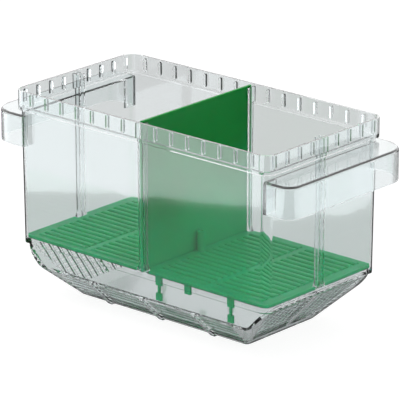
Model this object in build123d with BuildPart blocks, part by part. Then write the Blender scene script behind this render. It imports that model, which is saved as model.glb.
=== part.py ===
"""Floating fish breeding box.

A clear moulded tank with a stepped rim collar, air floats at both ends and a
slotted boat-shaped hull, holding a lift-out divider and two lift-out floor grates.
Origin under the middle of the hull floor, +X along the length, +Z up, millimetres.
"""

import os
from math import atan2, cos, radians, sin, tan

from build123d import *

# Rim collar
collar_length = 200.0
collar_width = 105.0
rim_height = 128.0
collar_height = 12.0
collar_step = 2.0

# Walls below the collar
wall = 1.6
wall_draft = 0.5
wall_corner_radius = 5.0

# Ledge that carries the grates
ledge_height = 34.7
ledge_width = 1.4
ledge_thickness = 3.0

# Hull below the ledge
hull_wall = 2.4
hull_floor_length = 133.0
hull_floor_width = 61.0
hull_panel_bottom = 18.0
hull_end_top = 32.5
hull_inner_edge_radius = 1.0
hull_inner_corner_radius = 3.0
hull_panel_corner_radius = 9.0

# Upright ribs inside the collar
collar_rib_width = 2.0
collar_rib_depth = 1.6
collar_rib_gap = 1.0
collar_rib_chamfer = 0.65
long_rib_count = 7
long_rib_pitch = 12.3
long_rib_start = 12.8
end_rib_count = 4
end_rib_pitch = 11.1

# Divider guides on the middle of all four walls
guide_rib_width = 1.3
guide_depth = 3.0
guide_drop = 1.0
guide_foot_spread = 2.0
guide_foot_height = 5.0

# End floats, closed above and open below, each wrapped round one corner of the walls
float_projection = 20.5
float_wrap = 7.5
float_width = 108.5
float_shelf_height = 113.5
float_skirt_height = 19.5
float_wall = 1.5
float_wrap_radius = 17.0
float_plain_radius = 9.0
float_edge_radius = 2.0

# Slotted long chines and the cross ribs between their slots
chine_slot_count = 5
chine_slot_pitch = 4.2
chine_slot_width = 1.6
chine_slot_reach = 68.0
chine_rib_spacing = 41.0
chine_rib_width = 3.0
chine_rib_proud = 1.2

# Strainer ends: rows cut half way from outside cross columns cut half way from inside
strainer_row_pitch = 3.2
strainer_row_width = 1.5
strainer_column_pitch = 5.4
strainer_column_width = 3.6
strainer_bottom = 4.5
strainer_top = 28.5
strainer_side_margin = 4.5
strainer_mid_rib = 4.0

# Divider plate
divider_thickness = 1.8
divider_clearance = 0.4
divider_edge_radius = 0.4

# Floor grates
grate_thickness = 1.8
grate_clearance = 0.4
grate_slot_pitch = 5.6
grate_slot_width = 2.0
grate_side_border = 6.0
grate_end_border = 6.5
grate_inner_border = 5.8
grate_crossbar = 4.0
grate_bar_rise = 0.7
grate_bar_slope = 45.0

# Lift post, legs and short stub of a grate
post_diameter = 5.0
post_gap = 0.3
post_height = 12.5
post_recess_diameter = 3.0
post_recess_depth = 1.0
leg_offsets = (-36.8, 19.0)
stub_offset = -14.1
leg_head_width = 4.4
leg_head_height = 6.2
leg_neck_width = 1.2
leg_foot_width = 4.0
leg_foot_height = 4.6
leg_thickness = 1.6

# Sizes that follow from the ones above
shoulder_height = rim_height - collar_height
recess_floor = shoulder_height + wall
hull_top = ledge_height - ledge_thickness
wall_length = collar_length - 2 * collar_step
wall_width = collar_width - 2 * collar_step
guide_slot = divider_thickness + divider_clearance
guide_width = guide_slot + 2 * guide_rib_width


def wall_size(level, inset=0.0):
    """Length and width of the drafted walls at one level, moved in by a thickness."""
    shift = (shoulder_height - level) * tan(radians(wall_draft)) + inset
    return wall_length - 2 * shift, wall_width - 2 * shift


hull_step = wall + ledge_width - hull_wall
hull_length, hull_width = (size - 2 * hull_step for size in wall_size(hull_top))
end_angle = atan2(hull_end_top, (hull_length - hull_floor_length) / 2)
chine_angle = atan2(hull_panel_bottom, (hull_width - hull_floor_width) / 2)


def plan(level, length, width, radius):
    """Rounded rectangle at one level, centred on the tank."""
    with BuildSketch(Plane.XY.offset(level)) as outline:
        RectangleRounded(length, width, radius)
    return outline.sketch


def tapered_block(bottom, top, low_size, high_size, radius):
    """Block with four flat leaning sides and rounded corners between two levels."""
    with BuildPart() as form:
        for plane, low, high, reach, mode in (
            (Plane.XZ, low_size[0], high_size[0], high_size[1], Mode.ADD),
            (Plane.YZ, low_size[1], high_size[1], high_size[0], Mode.INTERSECT),
        ):
            with BuildSketch(plane):
                Polygon(
                    (-low / 2, bottom),
                    (low / 2, bottom),
                    (high / 2, top),
                    (-high / 2, top),
                    align=None,
                )
            extrude(amount=reach, both=True, mode=mode)
        fillet(form.edges().group_by(Axis.Z)[1], radius)
    return form.part


def wall_form(bottom, top, inset=0.0):
    """Solid block that fills the drafted walls between two levels."""
    sizes = [wall_size(level, inset) for level in (bottom, top)]
    return tapered_block(bottom, top, *sizes, wall_corner_radius - inset)


def hull_size(level, skin):
    """Length and width between the sloped ends and chines at one level."""
    length = hull_floor_length + 2 * (level / tan(end_angle) - skin / sin(end_angle))
    width = hull_floor_width + 2 * (level / tan(chine_angle) - skin / sin(chine_angle))
    return length, width


def hull_form(top, skin=0.0):
    """Solid block with the hull's sloped ends and chines, moved in by a skin thickness."""
    crown = top + hull_wall
    sizes = [hull_size(level, skin) for level in (skin, crown)]
    slopes = tapered_block(skin, crown, *sizes, hull_inner_corner_radius + hull_wall - skin)
    panel_size = (hull_length - 2 * skin, hull_width - 2 * skin)
    panels = plan(skin, *panel_size, hull_panel_corner_radius - skin)
    with BuildPart() as form:
        add(slopes)
        extrude(panels, amount=top - skin, mode=Mode.INTERSECT)
        floor_edges = form.faces().sort_by(Axis.Z)[0].edges()
        fillet(floor_edges, hull_inner_edge_radius + hull_wall - skin)
    return form.part


def float_form():
    """Hollow shelf on the +X end: closed above, open below, wrapped round the +Y corner."""
    start = wall_length / 2 - float_wrap
    end = wall_length / 2 + float_projection
    notch = (float_width - wall_width) / 2 + wall_corner_radius
    with BuildPart() as form:
        for inset, height, mode in (
            (0, float_skirt_height, Mode.ADD),
            (float_wall, float_skirt_height - float_wall, Mode.SUBTRACT),
        ):
            with BuildSketch(Plane.XY.offset(float_shelf_height - float_skirt_height)) as outline:
                with Locations(((start + end) / 2, 0)):
                    Rectangle(end - start - 2 * inset, float_width - 2 * inset)
                wrap_corner = outline.vertices().group_by(Axis.X)[-1].sort_by(Axis.Y)[-1]
                fillet(wrap_corner, float_wrap_radius - inset)
                plain_corner = outline.vertices().group_by(Axis.X)[-1].sort_by(Axis.Y)[0]
                fillet(plain_corner, float_plain_radius - inset)
                with Locations((wall_length / 2 + inset, -float_width / 2)):
                    Rectangle(
                        float_wrap,
                        notch + inset,
                        align=(Align.MAX, Align.MIN),
                        mode=Mode.SUBTRACT,
                    )
            extrude(amount=height, mode=mode)
        shelf_edges = form.faces().sort_by(Axis.Z)[-1].edges()
        side_edges = shelf_edges.filter_by_position(Axis.X, wall_length / 2 + float_wall, end)
        fillet(side_edges + shelf_edges.sort_by(Axis.Y)[-1:], float_edge_radius)
    return form.part


def chine_ribs():
    """Three cross bands that stand proud of the long chines."""
    half_floor = hull_floor_width / 2
    half_panel = hull_width / 2
    out_y = chine_rib_proud * sin(chine_angle)
    out_z = chine_rib_proud * cos(chine_angle)
    floor_corner = half_floor + chine_rib_proud / sin(chine_angle)
    with BuildPart() as form:
        for place in (-chine_rib_spacing, 0, chine_rib_spacing):
            with BuildSketch(Plane.YZ.offset(place - chine_rib_width / 2)):
                Polygon(
                    (-floor_corner, 0),
                    (floor_corner, 0),
                    (half_panel + out_y, hull_panel_bottom - out_z),
                    (half_panel, hull_panel_bottom + chine_rib_proud),
                    (-half_panel, hull_panel_bottom + chine_rib_proud),
                    (-half_panel - out_y, hull_panel_bottom - out_z),
                    align=None,
                )
            extrude(amount=chine_rib_width)
    return form.part


def guide_form(half_span, half_rim):
    """Pair of upright ribs with a spread foot, standing on the wall at +Y."""
    lower_back = (half_span(ledge_height, wall) + half_span(shoulder_height, 0)) / 2
    upper_back = half_rim - wall / 2
    front = half_span(ledge_height, wall) - guide_depth
    rim_top = rim_height - guide_drop
    rib_middle = (guide_slot + guide_rib_width) / 2
    with BuildPart() as form:
        for level, top, back in (
            (ledge_height, rim_top, lower_back),
            (recess_floor, rim_top, upper_back),
        ):
            with BuildSketch(Plane.XY.offset(level)):
                with Locations((-rib_middle, (front + back) / 2), (rib_middle, (front + back) / 2)):
                    Rectangle(guide_rib_width, back - front)
            extrude(amount=top - level)
        with BuildSketch(Plane.XZ.offset(-lower_back)):
            foot_half = guide_width / 2 + guide_foot_spread
            for side in (-1, 1):
                Polygon(
                    (side * guide_slot / 2, ledge_height),
                    (side * foot_half, ledge_height),
                    (side * guide_width / 2, ledge_height + guide_foot_height),
                    (side * guide_slot / 2, ledge_height + guide_foot_height),
                    align=None,
                )
        extrude(amount=lower_back - front)
    return form.part


def long_half(level, inset):
    return wall_size(level, inset)[1] / 2


def end_half(level, inset):
    return wall_size(level, inset)[0] / 2


def collar_ribs(half_rim, places):
    """Upright bars with chamfered ends on the inner face of the collar at +Y."""
    height = rim_height - recess_floor - 2 * collar_rib_gap
    level = (rim_height + recess_floor) / 2
    root = Plane((0, half_rim - wall / 2, level), x_dir=(1, 0, 0), z_dir=(0, -1, 0))
    with BuildPart() as form:
        with BuildSketch(root) as bars:
            with Locations(*[(place, 0) for place in places]):
                Rectangle(collar_rib_width, height)
            chamfer(bars.vertices(), collar_rib_chamfer)
        extrude(amount=wall / 2 + collar_rib_depth)
    return form.part


def chine_slots():
    """Slots along the chine at -Y, in the bays between the cross ribs."""
    level = hull_panel_bottom / 2
    middle = hull_floor_width / 2 + level / tan(chine_angle)
    outward = (0, -sin(chine_angle), -cos(chine_angle))
    edges = [-chine_slot_reach]
    for place in (-chine_rib_spacing, 0, chine_rib_spacing):
        edges += [place - chine_rib_width / 2, place + chine_rib_width / 2]
    edges.append(chine_slot_reach)
    with BuildPart() as form:
        with BuildSketch(Plane((0, -middle, level), x_dir=(1, 0, 0), z_dir=outward)):
            for start, end in zip(edges[::2], edges[1::2]):
                bay = ((start + end) / 2, 0)
                with Locations(bay), GridLocations(1, chine_slot_pitch, 1, chine_slot_count):
                    Rectangle(end - start, chine_slot_width)
        extrude(amount=-2 * hull_wall)
    return form.part


def strainer_grooves(inner):
    """Half-depth grooves of the +X end: rows on the outer face or columns on the inner one."""
    outward = (sin(end_angle), 0, -cos(end_angle))
    level = (strainer_bottom + strainer_top) / 2
    middle = hull_floor_length / 2 + level / tan(end_angle)
    outer_face = Plane((middle, 0, level), x_dir=(0, 1, 0), z_dir=outward)
    reach = (strainer_top - strainer_bottom) / sin(end_angle)
    low_half = hull_floor_width / 2 + strainer_bottom / tan(chine_angle) - strainer_side_margin
    high_half = hull_width / 2 - strainer_side_margin
    with BuildPart() as form:
        with BuildSketch(outer_face.offset(-hull_wall / 2)):
            if inner:
                column_count = int(2 * high_half / strainer_column_pitch)
                with GridLocations(strainer_column_pitch, 1, column_count, 1):
                    Rectangle(strainer_column_width, reach)
            else:
                row_count = int(reach / strainer_row_pitch)
                with GridLocations(1, strainer_row_pitch, 1, row_count):
                    Rectangle(2 * high_half, strainer_row_width)
            with BuildSketch(mode=Mode.INTERSECT):
                for side in (-1, 1):
                    Polygon(
                        (side * strainer_mid_rib / 2, -reach / 2),
                        (side * low_half, -reach / 2),
                        (side * high_half, reach / 2),
                        (side * strainer_mid_rib / 2, reach / 2),
                        align=None,
                    )
        extrude(amount=-hull_wall if inner else hull_wall)
    return form.part


long_rib_places = []
for step in range(long_rib_count):
    distance = long_rib_start + step * long_rib_pitch
    long_rib_places += [-distance, distance]
end_rib_places = []
for step in range(1, end_rib_count + 1):
    end_rib_places += [-step * end_rib_pitch, step * end_rib_pitch]

float_shell = float_form()
long_guide = guide_form(long_half, collar_width / 2)
end_guide = guide_form(end_half, collar_length / 2)
long_ribs = collar_ribs(collar_width / 2, long_rib_places)
end_ribs = collar_ribs(collar_length / 2, end_rib_places)
long_slots = chine_slots()
outer_grooves = strainer_grooves(inner=False)
inner_grooves = strainer_grooves(inner=True)
collar_outline = plan(shoulder_height, collar_length, collar_width, wall_corner_radius + collar_step)
recess_outline = plan(
    recess_floor,
    collar_length - 2 * wall,
    collar_width - 2 * wall,
    wall_corner_radius + collar_step - wall,
)

with BuildPart() as tank:
    for turn in (0, 180):
        add(float_shell, rotation=(0, 0, turn))
    add(wall_form(hull_top, shoulder_height))
    add(hull_form(hull_top))
    add(chine_ribs())
    extrude(collar_outline, amount=collar_height)
    add(wall_form(ledge_height, recess_floor, wall), mode=Mode.SUBTRACT)
    add(hull_form(ledge_height, hull_wall), mode=Mode.SUBTRACT)
    extrude(recess_outline, amount=rim_height - recess_floor, mode=Mode.SUBTRACT)
    for turn in (0, 180):
        add([long_guide, long_ribs], rotation=(0, 0, turn))
        add([end_guide, end_ribs], rotation=(0, 0, turn + 90))
        add(long_slots, rotation=(0, 0, turn), mode=Mode.SUBTRACT)
        add(outer_grooves, rotation=(0, 0, turn), mode=Mode.SUBTRACT)
        add(inner_grooves, rotation=(0, 0, turn), mode=Mode.SUBTRACT)
tank.part.label = "tank"

divider_foot = long_half(ledge_height, wall) - divider_clearance
divider_head = long_half(rim_height, wall) - divider_clearance
with BuildPart() as divider:
    with BuildSketch(Plane.YZ.offset(-divider_thickness / 2)):
        Polygon(
            (-divider_foot, ledge_height),
            (divider_foot, ledge_height),
            (divider_head, rim_height),
            (-divider_head, rim_height),
            align=None,
        )
    extrude(amount=divider_thickness)
    fillet(divider.edges().filter_by(Axis.Y), divider_edge_radius)
divider.part.label = "divider"

grate_start = divider_thickness / 2 + divider_clearance
grate_end = end_half(ledge_height, wall) - grate_clearance
grate_half = long_half(ledge_height, wall) - grate_clearance
grate_middle = (grate_start + grate_end) / 2
grate_top = ledge_height + grate_thickness
notch_half = guide_width / 2 + guide_foot_spread + grate_clearance
field_start = grate_start + grate_inner_border
field_end = grate_end - grate_end_border
bar_length = (field_end - field_start - grate_crossbar) / 2
slot_count = int((2 * (grate_half - grate_side_border) + grate_slot_width) / grate_slot_pitch)
bar_width = grate_slot_pitch - grate_slot_width
leg_face = hull_width / 2 - hull_wall - grate_clearance


def leg_bottom(place):
    """Lowest level that a leg reaches above the sloped inner faces of the hull."""
    chine_level = (leg_face - hull_floor_width / 2 + hull_wall / sin(chine_angle)) * tan(chine_angle)
    tip = place + leg_foot_width / 2
    end_level = (tip - hull_floor_length / 2 + hull_wall / sin(end_angle)) * tan(end_angle)
    return max(chine_level, end_level) + grate_clearance


with BuildPart() as right_grate:
    with BuildSketch(Plane.XY.offset(ledge_height)) as grate_plan:
        with Locations((grate_middle, 0)):
            Rectangle(grate_end - grate_start, 2 * grate_half)
        outer_corners = grate_plan.vertices().group_by(Axis.X)[-1]
        fillet(outer_corners, wall_corner_radius - wall - grate_clearance)
        with Locations((grate_end, 0)):
            Rectangle(2 * guide_depth, 2 * notch_half, mode=Mode.SUBTRACT)
        with Locations((0, grate_half), (0, -grate_half)):
            Rectangle(2 * notch_half, 2 * guide_depth, mode=Mode.SUBTRACT)
    extrude(amount=grate_thickness)
    with BuildSketch(Plane.XY.offset(grate_top)):
        with Locations(((field_start + field_end) / 2, 0)):
            with GridLocations(bar_length + grate_crossbar, grate_slot_pitch, 2, slot_count + 1):
                Rectangle(bar_length, bar_width)
    extrude(amount=grate_bar_rise, taper=grate_bar_slope)
    with BuildSketch(Plane.XY.offset(ledge_height)):
        with Locations(((field_start + field_end) / 2, 0)):
            with GridLocations(bar_length + grate_crossbar, grate_slot_pitch, 2, slot_count):
                Rectangle(bar_length, grate_slot_width)
    extrude(amount=grate_thickness + grate_bar_rise, mode=Mode.SUBTRACT)
    with BuildSketch(Plane.XY.offset(ledge_height)):
        with Locations((grate_start + post_gap + post_diameter / 2, 0)):
            Circle(post_diameter / 2)
    extrude(amount=grate_thickness + post_height)
    with BuildSketch(Plane.XY.offset(grate_top + post_height)):
        with Locations((grate_start + post_gap + post_diameter / 2, 0)):
            Circle(post_recess_diameter / 2)
    extrude(amount=-post_recess_depth, mode=Mode.SUBTRACT)
    with BuildSketch(Plane.XZ.offset(leg_face - leg_thickness)):
        for along in (stub_offset, *leg_offsets):
            with Locations((grate_middle + along, ledge_height)):
                Rectangle(leg_head_width, leg_head_height, align=(Align.CENTER, Align.MAX))
        for along in leg_offsets:
            place = grate_middle + along
            with Locations((place, leg_bottom(place))):
                Rectangle(leg_foot_width, leg_foot_height, align=(Align.CENTER, Align.MIN))
                neck_height = ledge_height - leg_bottom(place)
                Rectangle(leg_neck_width, neck_height, align=(Align.CENTER, Align.MIN))
    extrude(amount=leg_thickness)
right_grate.part.label = "right_grate"

with BuildPart() as left_grate:
    add(right_grate.part, rotation=(0, 0, 180))
left_grate.part.label = "left_grate"

os.makedirs("parts", exist_ok=True)
for piece in (tank, divider, left_grate, right_grate):
    export_step(piece.part, f"parts/{piece.part.label}.step")
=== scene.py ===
"""Looks of the floating fish breeding box: clear and green moulded plastic in a white studio."""

from math import cos, radians, sin

import bpy
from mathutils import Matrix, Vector

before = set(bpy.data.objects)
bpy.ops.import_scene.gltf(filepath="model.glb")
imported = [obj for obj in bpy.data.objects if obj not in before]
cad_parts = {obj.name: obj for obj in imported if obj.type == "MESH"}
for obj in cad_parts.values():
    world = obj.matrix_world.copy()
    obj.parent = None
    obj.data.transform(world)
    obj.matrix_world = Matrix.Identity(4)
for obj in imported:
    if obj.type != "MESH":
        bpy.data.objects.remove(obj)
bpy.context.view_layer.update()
scene = bpy.context.scene

# Camera, at the photograph's viewing angle
camera_azimuth = 41.386
camera_elevation = 18.717
camera_distance = 2.150
camera_target = (0.01373, -0.01255, 0.07342)
camera_lens = 327.53
camera_clip = (0.05, 50)
sensor_width = 36.0

# Moulded surfaces: slow ripples, with patches between the smooth and the rough value
clear_skin = {"ripple_scale": 22.0, "ripple_height": 0.0002, "smooth": 0.01, "rough": 0.05}
green_skin = {"ripple_scale": 35.0, "ripple_height": 0.0001, "smooth": 0.1, "rough": 0.2}
patch_scale_ratio = 4
patch_range = (0.35, 0.7)

# Clear plastic: low refraction, with a coat that carries the gloss
clear_index = 1.24
clear_tint = (0.93, 0.962, 0.966, 1)
clear_transmission = 0.994
coat_index = 1.5
coat_roughness = 0.09

# Green plastic, with painted light and shade: darker towards the rim and lighter at the grates,
# as if lit from the table below
green_dark = (0.0, 0.23, 0.03, 1)
green_light = (0.0, 0.47, 0.17, 1)
green_stops = (0.3, 0.7)
painted_shade_heights = (0.04, 0.125)
painted_shade_levels = (0.45, -0.05)
flow_scale = 18.0
flow_share = 0.5
green_index = 1.5
green_specular = 0.1
scatter_weight = 0.8
scatter_radius = (0.3, 1.0, 0.6)
scatter_scale = 0.004

# Light levels: on the object, seen straight, seen through clear plastic, in outer gloss,
# in gloss that is seen through plastic, and on what stands inside the box
# Painted highlight: the room is brighter where it is mirrored in outer gloss than where it lights
# the object
room_light = {
    "lit": 0.75, "camera": 1.0, "through": 0.69, "mirrored": 1.6, "inside": 0.85, "within": 1.2,
}
# Painted shade: the floor is near black where it is mirrored in outer gloss, standing for the
# shaded floor near the object
floor_glow = {
    "lit": 0.0, "camera": 0.9, "through": 0.63, "mirrored": 0.04, "inside": 0.6, "within": 0.0,
}
floor_tone = {
    "lit": 0.8, "camera": 0.2, "through": 0.1, "mirrored": 0.06, "inside": 0.06, "within": 0.8,
}
floor_half = 6.0
floor_drop = 0.0005

# Cards on the floor, glowing sheets that paint reflections into the clear walls: near edge, and
# strength in the near wall's outer face, in its inner face and in the walls behind
card_edges = {
    "card_front": (
        (-0.80, 0.10), (-0.2193, -0.1839), (-0.1792, -0.2081), (-0.1493, -0.2238),
        (-0.1209, -0.2311), (-0.0917, -0.2517), (0.50, -0.55),
    ),
    "card_end": (
        (0.60, -0.30), (0.30, 0.05), (0.2523, 0.1501), (0.2428, 0.1637), (0.2332, 0.1773),
        (0.2286, 0.1868), (0.2271, 0.2015), (0.262, 0.29), (0.45, 0.90),
    ),
}
card_strengths = {"card_front": (2.9, 2.2, 0.1), "card_end": (2.2, 1.7, 0.4)}
card_colour = (0.92, 0.98, 1, 1)
card_depth = 0.9
card_height = 0.0002

# Lamps: azimuth and elevation
lamps = {"key": (-60, 50), "rear": (200, 45)}
lamp_distance = 1.5
lamp_size = 0.8
lamp_power = 3.5


def back_direction(azimuth, elevation):
    """Unit vector from the object towards a viewer."""
    turn, lift = radians(azimuth), radians(elevation)
    return Vector((sin(turn) * cos(lift), -cos(turn) * cos(lift), sin(lift)))


def aim(made, azimuth, elevation, distance):
    """Put a camera or lamp that far from the target, looking at it, and link it."""
    back = back_direction(azimuth, elevation)
    made.location = Vector(camera_target) + distance * back
    made.rotation_euler = back.to_track_quat("Z", "Y").to_euler()
    scene.collection.objects.link(made)


def make_camera():
    data = bpy.data.cameras.new("camera")
    data.sensor_width = sensor_width
    data.lens = camera_lens
    data.clip_start, data.clip_end = camera_clip
    camera = bpy.data.objects.new("camera", data)
    aim(camera, camera_azimuth, camera_elevation, camera_distance)
    scene.camera = camera


class Tree:
    """A node tree with short ways to add and join nodes."""

    def __init__(self, tree):
        self.tree = tree
        tree.nodes.clear()

    def node(self, kind, **inputs):
        """Add a node. An input's name has __ for each space, or is _ and the socket's number."""
        made = self.tree.nodes.new("ShaderNode" + kind)
        for name, value in inputs.items():
            key = int(name[1:]) if name[0] == "_" else name.replace("__", " ")
            socket = made.inputs[key]
            if isinstance(value, bpy.types.NodeSocket):
                self.tree.links.new(value, socket)
            else:
                socket.default_value = value
        return made

    def math(self, operation, *values):
        made = self.node("Math", **{f"_{place}": value for place, value in enumerate(values)})
        made.operation = operation
        return made.outputs[0]

    def mix(self, factor, low, high):
        return self.node("Mix", _0=factor, _2=low, _3=high).outputs[0]

    def at_least(self, count, times):
        """1 where a count of a ray's bounces is at least that many."""
        return self.math("GREATER_THAN", count, times - 0.5)

    def map_range(self, value, source, target):
        made = self.node(
            "MapRange",
            Value=value,
            From__Min=source[0],
            From__Max=source[1],
            To__Min=target[0],
            To__Max=target[1],
        )
        return made.outputs[0]


def new_material(name):
    material = bpy.data.materials.new(name)
    material.use_nodes = True
    return material, Tree(material.node_tree)


def moulded_skin(tree, ripple_scale, ripple_height, smooth, rough):
    """Object place, roughness and normal of a moulded surface."""
    place = tree.node("TexCoord").outputs["Object"]
    ripple = tree.node("TexNoise", Vector=place, Scale=ripple_scale, Detail=2.0)
    bump = tree.node("Bump", Strength=1.0, Distance=ripple_height, Height=ripple.outputs[0])
    patch_scale = patch_scale_ratio * ripple_scale
    patches = tree.node("TexNoise", Vector=place, Scale=patch_scale, Detail=4.0)
    gloss = tree.map_range(patches.outputs[0], patch_range, (smooth, rough))
    return place, gloss, bump.outputs[0]


def clear_plastic():
    material, tree = new_material("clear_plastic")
    _, roughness, normal = moulded_skin(tree, **clear_skin)
    shader = tree.node(
        "BsdfPrincipled",
        Base__Color=clear_tint,
        Transmission__Weight=clear_transmission,
        IOR=clear_index,
        Roughness=roughness,
        Coat__Weight=1.0,
        Coat__Roughness=coat_roughness,
        Coat__IOR=coat_index,
        Coat__Normal=normal,
        Normal=normal,
    )
    tree.node("OutputMaterial", Surface=shader.outputs[0])
    return material


def green_plastic():
    material, tree = new_material("green_plastic")
    place, roughness, normal = moulded_skin(tree, **green_skin)
    flow = tree.node("TexNoise", Vector=place, Scale=flow_scale, Detail=3.0)
    # Painted shade: the green darkens with height, from the grates up to the rim, on top of the
    # random flow tone
    height = tree.node("SeparateXYZ", _0=place).outputs["Z"]
    level = tree.map_range(height, painted_shade_heights, painted_shade_levels)
    flow_and_painted_shade = tree.math("MULTIPLY_ADD", flow.outputs[0], flow_share, level)
    tint = tree.node("ValToRGB", Fac=flow_and_painted_shade)
    stops = tint.color_ramp.elements
    for stop, position, colour in zip(stops, green_stops, (green_dark, green_light)):
        stop.position = position
        stop.color = colour
    shader = tree.node(
        "BsdfPrincipled",
        Base__Color=tint.outputs[0],
        Subsurface__Weight=scatter_weight,
        Subsurface__Radius=scatter_radius,
        Subsurface__Scale=scatter_scale,
        IOR=green_index,
        Specular__IOR__Level=green_specular,
        Roughness=roughness,
        Normal=normal,
    )
    tree.node("OutputMaterial", Surface=shader.outputs[0])
    return material


def dress(node, material):
    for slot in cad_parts[node].material_slots:
        slot.material = material


def ray_level(tree, lit, camera, through, mirrored, inside, within):
    """Level of the room or the floor, by the way that a ray has come."""
    path = tree.node("LightPath").outputs
    gloss = tree.mix(tree.at_least(path["Transmission Depth"], 1), mirrored, inside)
    spread = tree.mix(path["Is Transmission Ray"], lit, within)
    level = lit
    for applies, share in (
        (path["Is Camera Ray"], camera),
        (path["Is Transmission Ray"], through),
        (tree.at_least(path["Glossy Depth"], 1), gloss),
        (tree.at_least(path["Diffuse Depth"], 1), spread),
    ):
        level = tree.mix(applies, level, share)
    return level


def make_world():
    world = bpy.data.worlds.new("studio")
    scene.world = world
    world.use_nodes = True
    tree = Tree(world.node_tree)
    strength = ray_level(tree, **room_light)
    room = tree.node("Background", Color=(1, 1, 1, 1), Strength=strength)
    tree.node("OutputWorld", Surface=room.outputs[0])


def make_sheet(name, corners, material):
    """Flat stage piece with those corners."""
    mesh = bpy.data.meshes.new(name)
    mesh.from_pydata(corners, [], [range(len(corners))])
    mesh.materials.append(material)
    sheet = bpy.data.objects.new(name, mesh)
    scene.collection.objects.link(sheet)
    return sheet


def make_floor():
    material, tree = new_material("floor")
    matt = tree.node("BsdfDiffuse", Color=ray_level(tree, **floor_tone))
    strength = ray_level(tree, **floor_glow)
    glow = tree.node("Emission", Color=(1, 1, 1, 1), Strength=strength)
    both = tree.node("AddShader", _0=matt.outputs[0], _1=glow.outputs[0])
    tree.node("OutputMaterial", Surface=both.outputs[0])
    h, z = floor_half, -floor_drop
    make_sheet("floor", [(-h, -h, z), (h, -h, z), (h, h, z), (-h, h, z)], material)


def make_card(name):
    """Bright glowing sheet lying on the floor, a painted reflection: it lights nothing and shows
    only where it is mirrored once.
    """
    material, tree = new_material(name)
    first, second, behind = card_strengths[name]
    path = tree.node("LightPath").outputs
    passes = path["Transmission Depth"]
    near = tree.mix(tree.at_least(passes, 1), first, second)
    strength = tree.mix(tree.at_least(passes, 3), near, behind)
    glow = tree.node("Emission", Color=card_colour, Strength=strength)
    once = tree.math(
        "SUBTRACT", tree.at_least(path["Glossy Depth"], 1), tree.at_least(path["Glossy Depth"], 2)
    )
    unseen = tree.node("BsdfTransparent")
    mix = tree.node("MixShader", _0=once, _1=unseen.outputs[0], _2=glow.outputs[0])
    tree.node("OutputMaterial", Surface=mix.outputs[0])
    edge = [Vector((*point, card_height)) for point in card_edges[name]]
    along = (edge[-1] - edge[0]).normalized()
    out = Vector((along.y, -along.x, 0))
    corners = edge + [point + card_depth * out for point in reversed(edge)]
    card = make_sheet(name, corners, material)
    card.visible_camera = False
    card.visible_diffuse = False
    card.visible_shadow = False


def make_lamp(name, azimuth, elevation):
    """Soft round lamp that lights the object but shows in no reflection."""
    data = bpy.data.lights.new(name, "AREA")
    data.shape = "DISK"
    data.size = lamp_size
    data.energy = lamp_power
    lamp = bpy.data.objects.new(name, data)
    aim(lamp, azimuth, elevation, lamp_distance)
    lamp.visible_glossy = False
    lamp.visible_transmission = False


make_camera()
make_world()
make_floor()
for name in card_edges:
    make_card(name)
for name, direction in lamps.items():
    make_lamp(name, *direction)

clear = clear_plastic()
green = green_plastic()
dress("tank", clear)
for node in ("divider", "left_grate", "right_grate"):
    dress(node, green)

scene.view_settings.view_transform = "Standard"
